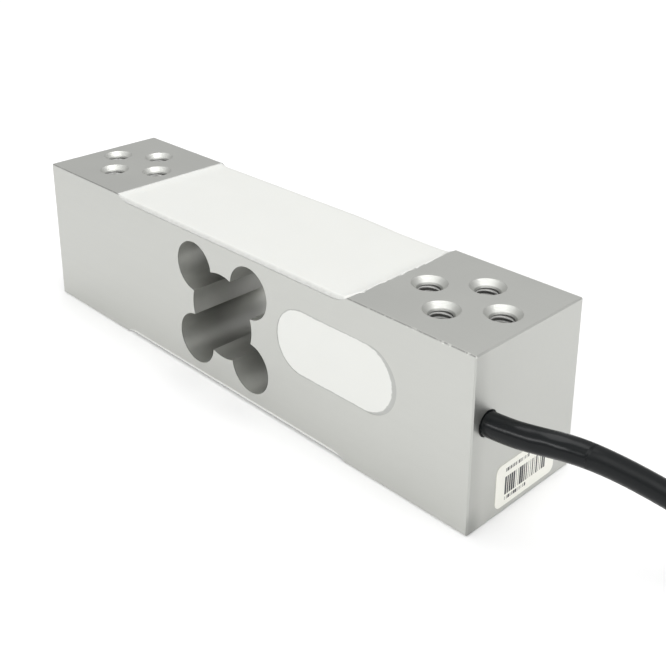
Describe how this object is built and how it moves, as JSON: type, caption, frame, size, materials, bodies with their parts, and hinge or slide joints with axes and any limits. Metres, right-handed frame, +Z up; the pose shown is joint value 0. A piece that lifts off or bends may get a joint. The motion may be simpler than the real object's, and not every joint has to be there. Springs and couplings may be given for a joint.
{
  "type": "single point load cell",
  "caption": "Aluminium bending beam load cell with a clover-shaped window, white silicone over its gauges, tapped mounting pads and a black signal cable with stripped leads.",
  "frame": {"origin": "middle of the beam's footprint, on the plane of the underside pads", "axes": "+X along the beam towards the end that the cable leaves, +Y across it away from the side pocket, +Z up"},
  "size_m": [0.3001, 0.0489, 0.04],
  "materials": {
    "beam_aluminium": "satin anodised",
    "silicone": "soft matt white silicone",
    "gauge_film": "amber film with a foil grid",
    "gauge_lead": "enamelled twin lead",
    "board": "green board with soldered joints",
    "chip": "black resistor body with tinned ends",
    "jacket": "glossy black PVC",
    "seal": "black rubber",
    "core_red": "red insulation",
    "core_green": "green insulation",
    "core_black": "black insulation",
    "core_white": "white insulation",
    "tinned_copper": "tinned strands",
    "label": "off-white film"
  },
  "bodies": {
    "root": {"spring_body": "beam_aluminium", "top_potting": "silicone", "bottom_potting": "silicone", "side_potting": "silicone", "gauge_top_load_end": "gauge_film", "gauge_top_fixed_end": "gauge_film", "gauge_base_load_end": "gauge_film", "gauge_base_fixed_end": "gauge_film", "lead_top_load_end": "gauge_lead", "lead_top_fixed_end": "gauge_lead", "lead_base_load_end": "gauge_lead", "lead_base_fixed_end": "gauge_lead", "compensation_board": "board", "span_resistor_plus": "chip", "span_resistor_minus": "chip", "zero_resistor": "chip", "input_resistor": "chip", "cable_entry": "jacket", "cable_seal": "seal", "core_red": "core_red", "core_green": "core_green", "core_black": "core_black", "core_white": "core_white", "core_screen": "tinned_copper", "cable": "jacket", "cable_hank": "jacket", "hank_ties": "seal", "tail_red": "core_red", "tail_green": "core_green", "tail_black": "core_black", "tail_white": "core_white", "tail_screen": "tinned_copper", "tail_tips": "tinned_copper", "label": "label"}
  },
  "joints": []
}
